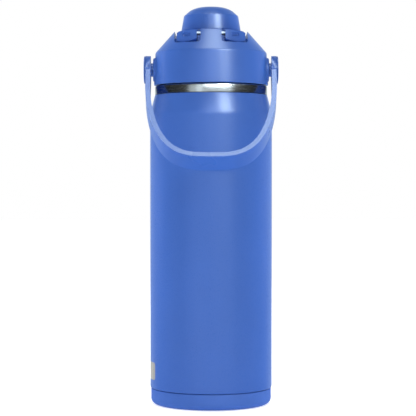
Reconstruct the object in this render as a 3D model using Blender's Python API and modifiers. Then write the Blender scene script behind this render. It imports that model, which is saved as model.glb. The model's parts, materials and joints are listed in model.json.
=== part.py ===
"""Insulated drinking bottle with a screwed lid, a hinged drinking cap and a carry handle.

Metres, +Z up. The origin is the middle of the face that the bottle stands on. The cap's
hinge and the hanging handle are on the -Y side, and the thumb tab of the cap is on +Y.
"""

import math

import bmesh
import bpy

# Bottle
BODY_RADIUS = 0.0440
NECK_RADIUS = 0.0405
SHOULDER_FOOT_Z = 0.2093
SHOULDER_BLEND = 0.018
SHELL_TOP_Z = 0.2229
SHELL_FOOT_Z = 0.0119
STEEL = 0.0008
BOOT_RADIUS = 0.0434
BOOT_CORNER = 0.0045
SOCKET_RADIUS = 0.0418
SOCKET_FOOT_Z = 0.0044
BOOT_FLOOR_Z = 0.0032
FLASK_RADIUS = 0.0412
FLASK_FLOOR_Z = 0.0100
FLASK_TOP_Z = 0.2147
MOUTH_RADIUS = 0.0356
LEG_WALL = 0.0013
RIM_RADIUS = 0.0382
BAND_TOP_Z = 0.2293
RIM_Z = 0.2335
GAP = 0.0003

# Screw thread of the lid; the crests just clear each other
THREAD_PITCH = 0.0050
THREAD_TURNS = 1.25
THREAD_START_Z = 0.2225
FEMALE_CREST = 0.0347
MALE_ROOT = 0.0332
MALE_CREST = 0.0343

# Lid collar
COLLAR_FOOT_Z = 0.2299
COLLAR_RADIUS = 0.0413
CREASE_Z = 0.2532
CREASE_RADIUS = 0.0402
TOP_Z = 0.2685
TOP_RADIUS = 0.0266
COLLAR_BORE = 0.0388
DECK_Z = 0.2620
DECK_UNDERSIDE_Z = 0.2604
WELL_HALF_WIDTH = 0.0261
WELL_BACK_POWER = 3.0
SPOUT_HOLE_RADIUS = 0.0156

# Cap hinge: a knuckle on the collar between two arms of the yoke
HINGE_Y = -0.0265
HINGE_Z = 0.2653
HINGE_PIN_RADIUS = 0.0012
HINGE_PIN_HALF = 0.0141
KNUCKLE_HALF_WIDTH = 0.0074
KNUCKLE_BACK_Y = -0.0236
KNUCKLE_TOP_Z = 0.2690
SLOT_FLOOR_Z = 0.2588
ARM_INNER_X = 0.0101
ARM_OUTER_X = 0.0243
ARM_HUB_RADIUS = 0.0062
ARM_FACE_RADIUS = 0.0330
ARM_TOP_Z = 0.2676
ARM_SLOPE = math.radians(12.0)
DIMPLE_ANGLE = math.radians(31.8)
DIMPLE_RADIUS = 0.0014
RING_FOOT_Z = 0.2646
RING_TOP_Z = 0.2686
RING_BORE = 0.0192
PASSAGE_CLEARANCE = 0.00005
KNUCKLE_ROOM_HALF = 0.0092
THUMB_HALF_WIDTH = 0.0065

# Drinking cap and spout
DOME_FOOT_Z = 0.2689
DOME_FOOT_RADIUS = 0.0215
DOME_EDGE_Z = 0.2797
DOME_EDGE_RADIUS = 0.0198
DOME_WALL = 0.0014
CROWN_Z = 0.2832
CROWN_RADIUS = 0.0186
CROWN_EDGE = 0.0157
CROWN_END = 33.0
SPOUT_TOP_Z = 0.2770
SPOUT_TOP_RADIUS = 0.0132
SPOUT_RADIUS = 0.0151
SPOUT_BORE = 0.0115

# Carry handle, hung from two pivots on the X axis
PIVOT_Z = 0.2412
HANG_ANGLE = math.radians(37.7)
HANDLE_REACH = 0.0827
HANDLE_HALF_SPAN = 0.0434
HANDLE_START = 0.0200
HANDLE_SIDE_POWER = 3.35
HANDLE_END_POWER = 1.8
HANDLE_THICKNESS = 0.0035
HANDLE_WIDTH = 0.0157
EYE_RADIUS = 0.0101
EYE_INNER_X = 0.0436
EYE_OUTER_X = 0.0474
PAD_FACE_X = 0.0418
PAD_RADIUS = 0.0083
PIVOT_BORE_RADIUS = 0.0019
COVER_FACE_X = 0.0487
COVER_RADIUS = 0.0099

ROUND_STEPS = 36
SPOUT_STEPS = 32
EYE_STEPS = 28
PAD_STEPS = 24
SMALL_STEPS = 16

parts = bpy.data.collections.new("large_water_jug")
cutters = bpy.data.collections.new("cutters")


def clear_scene():
    for obj in list(bpy.data.objects):
        bpy.data.objects.remove(obj)
    for collection in (parts, cutters):
        bpy.context.scene.collection.children.link(collection)


def make_material(name, colour, roughness, metallic=0.0):
    material = bpy.data.materials.new(name)
    material.use_nodes = True
    shader = material.node_tree.nodes["Principled BSDF"]
    shader.inputs["Base Color"].default_value = (*colour, 1.0)
    shader.inputs["Roughness"].default_value = roughness
    shader.inputs["Metallic"].default_value = metallic
    return material


def add_object(name, data, material=None):
    """Links a new object as a part, or as a hidden cutter where it has no material."""
    obj = bpy.data.objects.new(name, data)
    if material is None:
        cutters.objects.link(obj)
        obj.hide_render = True
        obj.display_type = "WIRE"
    else:
        parts.objects.link(obj)
        data.materials.append(material)
    return obj


def arc(centre_r, centre_z, radius, start, end, steps):
    """Points (r, z) along an arc, with angles in degrees from the +r direction."""
    points = []
    for step in range(steps + 1):
        angle = math.radians(start + (end - start) * step / steps)
        points.append((centre_r + radius * math.cos(angle), centre_z + radius * math.sin(angle)))
    return points


def turned(name, profile, material=None, steps=ROUND_STEPS, closed=True):
    """A solid of revolution about Z. The profile (r, z) runs down its outer side."""
    mesh = bpy.data.meshes.new(name)
    count = len(profile)
    edges = [(i, i + 1) for i in range(count - 1)]
    if closed:
        edges.append((count - 1, 0))
    mesh.from_pydata([(r, 0.0, z) for r, z in profile], edges, [])
    obj = add_object(name, mesh, material)
    screw = obj.modifiers.new("turn", "SCREW")
    screw.steps = steps
    screw.render_steps = steps
    screw.use_merge_vertices = True
    screw.merge_threshold = 0.00001
    screw.use_smooth_shade = True
    return obj


def outline_solid(name, outline, depth, material=None):
    """A flat outline in XY, filled and extruded from z = 0 up to the depth."""
    curve = bpy.data.curves.new(name + "_outline", "CURVE")
    curve.dimensions = "2D"
    curve.fill_mode = "BOTH"
    curve.extrude = depth / 2
    spline = curve.splines.new("POLY")
    spline.points.add(len(outline) - 1)
    for point, (x, y) in zip(spline.points, outline):
        point.co = (x, y, 0.0, 1.0)
    spline.use_cyclic_u = True
    source = bpy.data.objects.new(name + "_outline", curve)
    cutters.objects.link(source)
    graph = bpy.context.evaluated_depsgraph_get()
    mesh = bpy.data.meshes.new_from_object(source.evaluated_get(graph))
    bpy.data.objects.remove(source)
    work = bmesh_of(mesh)
    bmesh.ops.remove_doubles(work, verts=work.verts, dist=0.000001)
    bmesh.ops.translate(work, verts=work.verts, vec=(0.0, 0.0, depth / 2))
    work.to_mesh(mesh)
    work.free()
    return add_object(name, mesh, material)


def bmesh_of(mesh):
    work = bmesh.new()
    work.from_mesh(mesh)
    return work


def box(name, low, high):
    """A cutter box between two corners, with its scale in the mesh."""
    mesh = bpy.data.meshes.new(name)
    work = bmesh.new()
    bmesh.ops.create_cube(work, size=1.0)
    sides = [b - a for a, b in zip(low, high)]
    middle = [(a + b) / 2 for a, b in zip(low, high)]
    bmesh.ops.scale(work, verts=work.verts, vec=sides)
    bmesh.ops.translate(work, verts=work.verts, vec=middle)
    work.to_mesh(mesh)
    work.free()
    return add_object(name, mesh)


def along_x(obj, side, y, z):
    """Turns a solid about Z into one about X that starts at x = 0 and runs to one side."""
    obj.rotation_euler = (0.0, side * math.pi / 2, 0.0)
    obj.location = (0.0, y, z)
    return obj


def rod_profile(radius, start, end):
    return [(0.0, end), (radius, end), (radius, start), (0.0, start)]


def rod(name, radius, start, end, material=None, steps=SMALL_STEPS):
    return turned(name, rod_profile(radius, start, end), material, steps, closed=False)


def combine(target, other, operation):
    modifier = target.modifiers.new(operation.lower() + "_" + other.name, "BOOLEAN")
    modifier.operation = operation
    modifier.solver = "EXACT"
    modifier.object = other


def cut(target, *others):
    for other in others:
        combine(target, other, "DIFFERENCE")


def join(target, *others):
    for other in others:
        combine(target, other, "UNION")


def bevel(obj, width, segments=2, angle=30.0):
    modifier = obj.modifiers.new("edges", "BEVEL")
    modifier.width = width
    modifier.segments = segments
    modifier.limit_method = "ANGLE"
    modifier.angle_limit = math.radians(angle)


def thread_ridge(name, root, crest):
    """A helical ridge of a screw thread whose height tapers out at both ends."""
    steps = 30
    work = bmesh.new()
    embed = math.copysign(0.0005, root - crest)
    rings = []
    for step in range(steps + 1):
        share = step / steps
        angle = 2 * math.pi * THREAD_TURNS * share
        height = min(1.0, 8 * share + 0.1, 8 * (1 - share) + 0.1)
        top = root + (crest - root) * height
        middle = THREAD_START_Z + THREAD_PITCH * THREAD_TURNS * share
        ring = []
        section = ((root + embed, 0.0011), (top, 0.0005), (top, -0.0005), (root + embed, -0.0011))
        for radius, z in section:
            point = (radius * math.cos(angle), radius * math.sin(angle), middle + z)
            ring.append(work.verts.new(point))
        rings.append(ring)
    for first, second in zip(rings, rings[1:]):
        for i in range(4):
            j = (i + 1) % 4
            work.faces.new((first[i], first[j], second[j], second[i]))
    work.faces.new(rings[0])
    work.faces.new(rings[-1])
    bmesh.ops.recalc_face_normals(work, faces=work.faces)
    mesh = bpy.data.meshes.new(name)
    work.to_mesh(mesh)
    work.free()
    return add_object(name, mesh)


def collar_radius(z):
    """Outer radius of the lid's cone at a height."""
    share = (z - CREASE_Z) / (TOP_Z - CREASE_Z)
    return CREASE_RADIUS + share * (TOP_RADIUS - CREASE_RADIUS)


# ---------------------------------------------------------------- bottle


def make_outer_shell(paint):
    """Thin outer wall: neck, sloping shoulder, straight body and a stepped-in socket."""
    step_z = SHELL_FOOT_Z
    inner = BODY_RADIUS - STEEL
    slope = math.degrees(math.atan2(BODY_RADIUS - NECK_RADIUS, SHELL_TOP_Z - SHOULDER_FOOT_Z))
    drop = SHOULDER_BLEND * math.tan(math.radians(slope / 2))
    centre_r = BODY_RADIUS - SHOULDER_BLEND
    shoulder = arc(centre_r, SHOULDER_FOOT_Z - drop, SHOULDER_BLEND, slope, 0, 3)
    outside = [(NECK_RADIUS, SHELL_TOP_Z), *shoulder, (BODY_RADIUS, step_z + STEEL)]
    outside += [(BODY_RADIUS - STEEL, step_z), (SOCKET_RADIUS, step_z), (SOCKET_RADIUS, SOCKET_FOOT_Z)]
    inside = [(SOCKET_RADIUS - STEEL, SOCKET_FOOT_Z), (SOCKET_RADIUS - STEEL, step_z + STEEL)]
    inside += [(inner - 0.0003, step_z + STEEL), (inner, step_z + 0.0012)]
    inside += [(r - STEEL, z) for r, z in reversed(shoulder)]
    inside.append((NECK_RADIUS - STEEL, SHELL_TOP_Z))
    return turned("outer_shell", outside + inside, paint)


def make_outer_base(steel):
    """Dished steel cup welded into the socket, with a hole for evacuating the wall space."""
    rim = SOCKET_RADIUS - STEEL - GAP
    outside = [(rim, 0.0094), *arc(rim - 0.0020, 0.0056, 0.0020, 0, -90, 2)]
    outside += [(0.0330, 0.0036), (0.0300, 0.0052), (0.0060, 0.0052), (0.0045, 0.0064), (0.0016, 0.0064)]
    inside = [(0.0016, 0.0072), (0.0049, 0.0072), (0.0064, 0.0060), (0.0296, 0.0060), (0.0326, 0.0044)]
    inside += arc(rim - 0.0020, 0.0056, 0.0012, -90, 0, 2)
    inside.append((rim - STEEL, 0.0094))
    return turned("outer_base", outside + inside, steel)


def make_vacuum_port_plug(brazing):
    profile = [(0.0, 0.0075), (0.00125, 0.0075), (0.00125, 0.0061), (0.0034, 0.0061)]
    profile += [(0.0030, 0.0052), (0.0016, 0.0049), (0.0, 0.0049)]
    return turned("vacuum_port_plug", profile, brazing, SMALL_STEPS, closed=False)


def make_getter_pad(getter):
    pad = rod("getter_pad", 0.0060, 0.0063, 0.0075, getter)
    pad.location = (0.0170, 0.0, 0.0)
    bevel(pad, 0.0003, 1)
    return pad


def make_inner_flask(steel):
    """Inner wall: rounded floor, straight side, and a shoulder up to the mouth ring."""
    corner = 0.0100
    bend = 0.0045
    neck = MOUTH_RADIUS + LEG_WALL
    bend_z = 0.2040
    outside = [(neck, FLASK_TOP_Z), (neck, 0.2122)]
    outside += arc(FLASK_RADIUS - bend, bend_z, bend, 60, 0, 3)
    outside += arc(FLASK_RADIUS - corner, FLASK_FLOOR_Z + corner, corner, 0, -90, 4)
    outside.append((0.0, FLASK_FLOOR_Z + STEEL))
    inside = [(0.0, FLASK_FLOOR_Z + 2 * STEEL)]
    inside += arc(FLASK_RADIUS - corner, FLASK_FLOOR_Z + corner, corner - STEEL, -90, 0, 4)
    inside += arc(FLASK_RADIUS - bend, bend_z, bend - STEEL, 0, 60, 3)
    inside += [(neck - STEEL, 0.2119), (neck - STEEL, FLASK_TOP_Z)]
    return turned("inner_flask", inside + outside, steel, closed=False)


def make_neck_ring(steel):
    """Bare mouth ring: outer band, shelf, rim, and a bore with the screw thread."""
    band_inner = NECK_RADIUS - 0.0012
    leg_outer = MOUTH_RADIUS + LEG_WALL
    edge = 0.0006
    corner = 0.0008
    foot_z = SHELL_TOP_Z + GAP
    profile = [(MOUTH_RADIUS + edge, RIM_Z), (RIM_RADIUS - edge, RIM_Z), (RIM_RADIUS, RIM_Z - edge)]
    profile += [(RIM_RADIUS, BAND_TOP_Z + 0.0004), (RIM_RADIUS + 0.0004, BAND_TOP_Z)]
    profile += arc(NECK_RADIUS - corner, BAND_TOP_Z - corner, corner, 90, 0, 3)
    profile += [(NECK_RADIUS, foot_z), (band_inner, foot_z), (band_inner, BAND_TOP_Z - 0.0016)]
    profile += [(band_inner - 0.0004, BAND_TOP_Z - 0.0012), (leg_outer, BAND_TOP_Z - 0.0012)]
    profile += [(leg_outer, FLASK_TOP_Z + GAP), (MOUTH_RADIUS, FLASK_TOP_Z + GAP)]
    profile.append((MOUTH_RADIUS, RIM_Z - edge))
    ring = turned("neck_ring", profile, steel)
    join(ring, thread_ridge("female_thread", MOUTH_RADIUS, FEMALE_CREST))
    return ring


def make_base_boot(soft):
    """Soft cup that the bottle stands on, with a grip groove in its flat underside."""
    bore = SOCKET_RADIUS + GAP
    top_z = SHELL_FOOT_Z - GAP
    profile = [(bore, top_z), (BOOT_RADIUS - 0.0003, top_z), (BOOT_RADIUS, top_z - 0.0003)]
    profile += arc(BOOT_RADIUS - BOOT_CORNER, BOOT_CORNER, BOOT_CORNER, 0, -90, 5)
    profile += [(0.0290, 0.0), (0.0284, 0.0008), (0.0266, 0.0008), (0.0260, 0.0), (0.0, 0.0)]
    floor = [(0.0, BOOT_FLOOR_Z), (bore - 0.0012, BOOT_FLOOR_Z), (bore, SOCKET_FOOT_Z)]
    return turned("base_boot", floor + profile, soft, closed=False)


# ---------------------------------------------------------------- lid


def well_outline():
    """Straight-sided well, with a rounder end away from the hinge."""
    half = WELL_HALF_WIDTH
    points = [(-half, KNUCKLE_BACK_Y), (half, KNUCKLE_BACK_Y)]
    steps = 20
    for step in range(steps + 1):
        angle = math.pi * step / steps
        cosine = math.cos(angle)
        x = half * math.copysign(abs(cosine) ** (2 / WELL_BACK_POWER), cosine)
        y = half * abs(math.sin(angle)) ** (2 / WELL_BACK_POWER)
        points.append((x, y))
    return points


def hinge_block():
    """Solid material behind the cone that carries the knuckle and the arms' slots."""
    block = box("hinge_block", (-0.0282, -0.0420, 0.2566), (0.0282, -0.0195, 0.2612))
    inset = 0.0007
    limit = [(collar_radius(0.2640) - inset, 0.2640), (collar_radius(0.2550) - inset, 0.2550)]
    bound = turned("hinge_block_bound", [(0.0, 0.2640), *limit, (0.0, 0.2550)], closed=False)
    combine(block, bound, "INTERSECT")
    return block


def make_lid_shell(plastic):
    """Collar with its cone, well, hinge knuckle and the pads for the carry handle."""
    wall = 0.0022
    crease = collar_radius(CREASE_Z)
    inner_foot_z = DECK_UNDERSIDE_Z
    outside = [(SPOUT_HOLE_RADIUS, TOP_Z), (TOP_RADIUS - 0.0003, TOP_Z), (TOP_RADIUS, TOP_Z - 0.0003)]
    outside += [(crease, CREASE_Z), (COLLAR_RADIUS, COLLAR_FOOT_Z + 0.0005)]
    outside += [(COLLAR_RADIUS - 0.0005, COLLAR_FOOT_Z), (COLLAR_BORE, COLLAR_FOOT_Z)]
    inside = [(COLLAR_BORE, 0.2490), (crease - wall, CREASE_Z - 0.0009)]
    inside += [(collar_radius(inner_foot_z) - wall, inner_foot_z), (SPOUT_HOLE_RADIUS, inner_foot_z)]
    shell = turned("lid_shell", outside + inside, plastic)
    join(shell, hinge_block())
    for side, name in ((-1, "left"), (1, "right")):
        pad = [(0.0, PAD_FACE_X), (PAD_RADIUS - 0.0004, PAD_FACE_X), (PAD_RADIUS, PAD_FACE_X - 0.0004)]
        pad += [(PAD_RADIUS + 0.0008, 0.0391), (0.0, 0.0391)]
        disc = turned("pad_" + name, pad, None, PAD_STEPS, closed=False)
        join(shell, along_x(disc, side, 0.0, PIVOT_Z))
        join(shell, along_x(rod("pivot_boss_" + name, 0.0034, 0.0345, 0.0395), side, 0.0, PIVOT_Z))
    ridge = box("knuckle_ridge", (-0.0080, -0.0272, 0.2660), (0.0080, -0.0230, KNUCKLE_TOP_Z))
    bevel(ridge, 0.0004, 1)
    join(shell, ridge)
    well = outline_solid("well", well_outline(), 0.0200)
    well.location.z = DECK_Z
    cut(shell, well)
    for side, name in ((-1, "left"), (1, "right")):
        edges = sorted((side * KNUCKLE_HALF_WIDTH, side * WELL_HALF_WIDTH))
        slot = box("arm_slot_" + name, (edges[0], -0.0450, SLOT_FLOOR_Z), (edges[1], -0.0196, 0.2800))
        bevel(slot, 0.0018, 3)
        cut(shell, slot)
    thumb = box("thumb_notch", (-0.0078, 0.0200, 0.2636), (0.0078, 0.0400, 0.2800))
    bevel(thumb, 0.0010, 2)
    cut(shell, thumb)
    pin_bore = rod("hinge_bore", HINGE_PIN_RADIUS + GAP, -0.0200, 0.0200)
    cut(shell, along_x(pin_bore, 1, HINGE_Y, HINGE_Z))
    cut(shell, along_x(rod("pivot_bore", PIVOT_BORE_RADIUS, -0.0450, 0.0450), 1, 0.0, PIVOT_Z))
    return shell


def make_lid_liner(plastic):
    """Inner moulding: screw plug, sealing flange, cone roof and the socket of the spout."""
    profile = [(0.0154, 0.2584), (0.0174, 0.2584), (0.0174, 0.2560), (0.0325, 0.2385)]
    profile += [(0.0325, 0.2374), (0.0384, 0.2374), (0.0384, 0.2355), (0.0342, 0.2355), (0.0342, 0.2337)]
    profile += [(MALE_ROOT, 0.2327), (MALE_ROOT, 0.2196), (MALE_ROOT - 0.0006, 0.2190), (0.0314, 0.2190)]
    profile += [(0.0314, 0.2370), (0.0162, 0.2544), (0.0154, 0.2544)]
    liner = turned("lid_liner", profile, plastic)
    join(liner, thread_ridge("male_thread", MALE_ROOT, MALE_CREST))
    return liner


def make_mouth_gasket(silicone):
    profile = [(0.0347, 0.2352), (0.0378, 0.2352), (0.0381, 0.2349), (0.0381, 0.2341), (0.0378, 0.2338)]
    profile += [(0.0347, 0.2338), (0.0345, 0.2340), (0.0345, 0.2350)]
    return turned("mouth_gasket", profile, silicone)


def bayonet_lug(name, low_r, high_r, low_z, high_z, centre_degrees):
    """A short arc-shaped lug."""
    steps = 6
    half_span = 22.3
    start = centre_degrees - half_span
    angles = [math.radians(start + 2 * half_span * i / steps) for i in range(steps + 1)]
    outline = [(high_r * math.cos(a), high_r * math.sin(a)) for a in angles]
    outline += [(low_r * math.cos(a), low_r * math.sin(a)) for a in reversed(angles)]
    lug = outline_solid(name, outline, high_z - low_z)
    lug.location.z = low_z
    return lug


def make_drink_spout(plastic):
    """Wide spout with a rolled lip, a clamped flange and a groove for its ring."""
    root = SPOUT_RADIUS
    profile = [(SPOUT_BORE + 0.0004, SPOUT_TOP_Z - 0.0001), (SPOUT_TOP_RADIUS - 0.0008, SPOUT_TOP_Z)]
    profile += [(SPOUT_TOP_RADIUS - 0.0002, SPOUT_TOP_Z - 0.0003), (SPOUT_TOP_RADIUS, SPOUT_TOP_Z - 0.0009)]
    profile += [(0.0145, 0.2704), (0.0150, 0.2640), (root, 0.2601), (0.0170, 0.2601), (0.0170, 0.2587)]
    profile += [(root, 0.2587), (root, 0.2576), (0.0134, 0.2576), (0.0134, 0.2556), (root, 0.2556)]
    profile += [(root, 0.2542), (root - 0.0007, 0.2535), (0.0128, 0.2535)]
    profile += [(0.0120, 0.2560), (SPOUT_BORE, 0.2640), (SPOUT_BORE, SPOUT_TOP_Z - 0.0006)]
    spout = turned("drink_spout", profile, plastic, SPOUT_STEPS)
    for centre in (0.0, 180.0):
        join(spout, bayonet_lug(f"spout_lug_{centre:.0f}", 0.0138, 0.0152, 0.2684, 0.2698, centre))
    return spout


def make_spout_o_ring(silicone):
    ring = arc(0.0144, 0.2566, 0.00065, 90, -210, 5)
    return turned("spout_o_ring", ring, silicone, EYE_STEPS)


def make_hinge_pin(steel):
    pin = rod("hinge_pin", HINGE_PIN_RADIUS, -HINGE_PIN_HALF, HINGE_PIN_HALF, steel)
    return along_x(pin, 1, HINGE_Y, HINGE_Z)


def make_collar_magnet(magnet):
    """Magnet on the collar's inner face, under the knuckle, that holds the open cap."""
    disc = rod("collar_magnet", 0.0040, 0.0, 0.0018, magnet)
    disc.location = (0.0, -0.0306, 0.2544)
    return disc


def make_pivots(steel, plastic):
    """Shoulder pins and flanged bushes of the carry handle, one of each on both sides."""
    made = []
    for side, name in ((-1, "left"), (1, "right")):
        outline = [(0.0, 0.0473), (0.0046, 0.0473), (0.0050, 0.0469), (0.0050, 0.0462), (0.0016, 0.0462)]
        outline += [(0.0016, 0.0352), (0.0, 0.0352)]
        pin = turned("pivot_pin_" + name, outline, steel, SMALL_STEPS, closed=False)
        bore = PIVOT_BORE_RADIUS
        outline = [(bore, 0.0459), (0.0034, 0.0459), (0.0034, 0.0433), (0.0049, 0.0433)]
        outline += [(0.0049, PAD_FACE_X + GAP), (bore, PAD_FACE_X + GAP)]
        bush = turned("pivot_bush_" + name, outline, plastic, 20)
        made += [along_x(piece, side, 0.0, PIVOT_Z) for piece in (pin, bush)]
    return made


# ---------------------------------------------------------------- hinged cap


def arm_side_outline():
    """Side view of a hinge arm as (y, z): a round hub on the pin and a bar to the ring."""
    back_y = -0.0120
    start = math.degrees(math.asin((RING_FOOT_Z - HINGE_Z) / ARM_HUB_RADIUS))
    end = -180.0 - math.degrees(math.asin((ARM_TOP_Z - HINGE_Z) / ARM_HUB_RADIUS))
    points = [(back_y, RING_FOOT_Z), *arc(HINGE_Y, HINGE_Z, ARM_HUB_RADIUS, start, end, 14)]
    points.append((back_y, ARM_TOP_Z))
    return points


def yoke_arm(name, side):
    length = ARM_OUTER_X - ARM_INNER_X
    arm = outline_solid(name, arm_side_outline(), length)
    arm.rotation_euler = (math.pi / 2, 0.0, math.pi / 2)
    arm.location.x = ARM_INNER_X if side > 0 else -ARM_OUTER_X
    face = rod(name + "_face", ARM_FACE_RADIUS, 0.2500, 0.2800, None, ROUND_STEPS)
    combine(arm, face, "INTERSECT")
    edges = sorted((side * -0.0100, side * 0.0200))
    slope = box(name + "_slope", (edges[0], -0.0400, 0.0), (edges[1], -0.0100, 0.0100))
    slope.rotation_euler.y = side * ARM_SLOPE
    slope.location = (side * 0.0150, 0.0, ARM_TOP_Z + 0.0003)
    cut(arm, slope)
    return arm


def arm_dimple(name, side):
    """Finger dimple in the curved face of an arm, its rod lying along the face."""
    rim = ARM_FACE_RADIUS + 0.0005
    dimple = rod(name, DIMPLE_RADIUS, -0.0030, 0.0030, None, 12)
    dimple.rotation_euler = (0.0, math.pi / 2, side * DIMPLE_ANGLE)
    dimple.location = (side * rim * math.sin(DIMPLE_ANGLE), -rim * math.cos(DIMPLE_ANGLE), 0.2643)
    return dimple


def make_hinge_yoke(plastic):
    """Ring round the cap with two hinge arms and a thumb tab."""
    rim = 0.0004
    ring = [(RING_BORE, RING_TOP_Z), (ARM_OUTER_X - rim, RING_TOP_Z), (ARM_OUTER_X, RING_TOP_Z - rim)]
    ring += [(ARM_OUTER_X, RING_FOOT_Z), (RING_BORE, RING_FOOT_Z)]
    yoke = turned("hinge_yoke", ring, plastic)
    for side, name in ((-1, "left"), (1, "right")):
        join(yoke, yoke_arm("yoke_arm_" + name, side))
    tab = box("thumb_tab", (-THUMB_HALF_WIDTH, 0.0215, RING_FOOT_Z), (THUMB_HALF_WIDTH, 0.0318, 0.2672))
    bevel(tab, 0.0009, 2)
    join(yoke, tab)
    passage = RING_BORE + PASSAGE_CLEARANCE
    cut(yoke, rod("cap_passage", passage, 0.2500, 0.2800, None, ROUND_STEPS))
    room = KNUCKLE_ROOM_HALF
    cut(yoke, box("knuckle_room", (-room, -0.0450, 0.2500), (room, -0.0216, 0.2800)))
    half = HINGE_PIN_HALF + GAP
    cut(yoke, along_x(rod("yoke_bore", HINGE_PIN_RADIUS + GAP, -half, half), 1, HINGE_Y, HINGE_Z))
    for side, name in ((-1, "left"), (1, "right")):
        cut(yoke, arm_dimple("arm_dimple_" + name, side))
    return yoke


def dome_outline(inset):
    """Half profile of the dome from its top down to its foot, moved in by the inset."""
    end = math.radians(CROWN_END)
    edge = 0.0004
    centre_r = CROWN_EDGE - CROWN_RADIUS * math.sin(end)
    centre_z = CROWN_Z - inset - CROWN_RADIUS * math.cos(end)
    crown = arc(centre_r, centre_z, CROWN_RADIUS, 84, 90 - CROWN_END, 4)
    points = [(0.0, centre_z + CROWN_RADIUS + 0.0001)]
    points += [(r - inset * 0.4, z) for r, z in crown]
    points += [(DOME_EDGE_RADIUS - edge - inset, DOME_EDGE_Z + edge - inset * 0.5)]
    points += [(DOME_EDGE_RADIUS - inset, DOME_EDGE_Z - edge - inset * 0.5)]
    points += [(DOME_FOOT_RADIUS - inset, DOME_FOOT_Z)]
    return points


def make_cap_dome(plastic):
    """Outer shell of the drinking cap: tapered side, chamfer and low crown."""
    outside = dome_outline(0.0)
    inside = list(reversed(dome_outline(DOME_WALL)))
    return turned("cap_dome", outside + inside, plastic, closed=False)


def make_cap_liner(plastic):
    """Inner cup of the cap, with a flange that keeps the yoke's ring and two lugs."""
    profile = [(0.0, 0.2800), (0.0165, 0.2800), (0.0177, 0.2786), (0.0179, 0.2712), (0.0195, 0.2706)]
    profile += [(0.0195, 0.2692), (0.0189, 0.2686)]
    profile += [(0.0189, 0.2643), (0.0215, 0.2643), (0.0215, 0.2624), (0.0166, 0.2624), (0.0166, 0.2786)]
    profile += [(0.0, 0.2786)]
    liner = turned("cap_liner", profile, plastic, closed=False)
    for centre in (0.0, 180.0):
        join(liner, bayonet_lug(f"cap_lug_{centre:.0f}", 0.01575, 0.0170, 0.2656, 0.2670, centre))
    return liner


def make_cap_seal(silicone):
    profile = [(0.0, 0.2783), (0.0160, 0.2783), (0.0163, 0.2780), (0.0163, 0.2768), (0.0152, 0.2762)]
    profile += [(0.0142, 0.2768), (0.0138, 0.2773), (0.0, 0.2773)]
    return turned("cap_seal", profile, silicone, EYE_STEPS, closed=False)


def make_cap_magnet(magnet):
    """Disc between the cap's inner cup and its dome."""
    return rod("cap_magnet", 0.0055, 0.2803, 0.2824, magnet)


# ---------------------------------------------------------------- carry handle


def handle_outline():
    """Outline of the bail as (x, reach): inner curve, and the same curve moved outwards."""
    steps = 14
    depth = HANDLE_REACH - HANDLE_START
    inner = [(HANDLE_HALF_SPAN, 0.0)]
    for step in range(steps + 1):
        angle = math.pi / 2 * step / steps
        x = HANDLE_HALF_SPAN * math.cos(angle) ** (2 / HANDLE_SIDE_POWER)
        reach = HANDLE_START + depth * math.sin(angle) ** (2 / HANDLE_END_POWER)
        inner.append((x, reach))
    inner += [(-x, reach) for x, reach in reversed(inner[:-1])]
    outer = []
    for i, (x, reach) in enumerate(inner):
        before = inner[max(i - 1, 0)]
        after = inner[min(i + 1, len(inner) - 1)]
        along = (after[0] - before[0], after[1] - before[1])
        length = math.hypot(*along)
        offset = HANDLE_THICKNESS / length
        outer.append((x + offset * along[1], reach - offset * along[0]))
    return inner + list(reversed(outer))


def make_carry_handle(plastic):
    """Moulded bail that hangs from two eyes; its own frame hangs straight down."""
    outline = [(x, -reach) for x, reach in handle_outline()]
    handle = outline_solid("carry_handle", outline, HANDLE_WIDTH, plastic)
    for vertex in handle.data.vertices:
        vertex.co.z -= HANDLE_WIDTH / 2
    handle.rotation_euler.x = math.pi / 2
    for side, name in ((-1, "left"), (1, "right")):
        eye = [(0.0, EYE_OUTER_X), (EYE_RADIUS - 0.0006, EYE_OUTER_X), (EYE_RADIUS, EYE_OUTER_X - 0.0006)]
        eye += [(EYE_RADIUS, EYE_INNER_X), (0.0, EYE_INNER_X)]
        join(handle, along_x(turned("eye_" + name, eye, None, EYE_STEPS, closed=False), side, 0.0, 0.0))
        cut(handle, along_x(rod("eye_bore_" + name, 0.0037, 0.0400, 0.0500), side, 0.0, 0.0))
        cut(handle, along_x(rod("eye_counterbore_" + name, 0.0054, 0.0454, 0.0500), side, 0.0, 0.0))
    return handle


def make_pivot_covers(plastic):
    covers = []
    for side, name in ((-1, "left"), (1, "right")):
        outline = [(0.0, COVER_FACE_X), (COVER_RADIUS - 0.0021, COVER_FACE_X - 0.0001)]
        outline += [(COVER_RADIUS - 0.0004, COVER_FACE_X - 0.0004), (COVER_RADIUS, COVER_FACE_X - 0.0008)]
        outline += [(COVER_RADIUS, EYE_OUTER_X + GAP), (0.0, EYE_OUTER_X + GAP)]
        cover = turned("pivot_cover_" + name, outline, plastic, EYE_STEPS, closed=False)
        covers.append(along_x(cover, side, 0.0, 0.0))
    return covers


# ---------------------------------------------------------------- assembly


def add_axis(name, location, parent=None):
    axis = bpy.data.objects.new(name, None)
    axis.empty_display_size = 0.01
    parts.objects.link(axis)
    axis.location = location
    if parent:
        axis.parent = parent
        axis.location = [a - b for a, b in zip(location, parent.location)]
    return axis


def hang_on(axis, origin, pieces):
    """Parents pieces, with their cutters, to an axis that stood at the origin given."""
    for piece in pieces:
        piece.parent = axis
        piece.location = [a - b for a, b in zip(piece.location, origin)]
        hang_on(axis, origin, [step.object for step in piece.modifiers if step.type == "BOOLEAN"])


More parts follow.
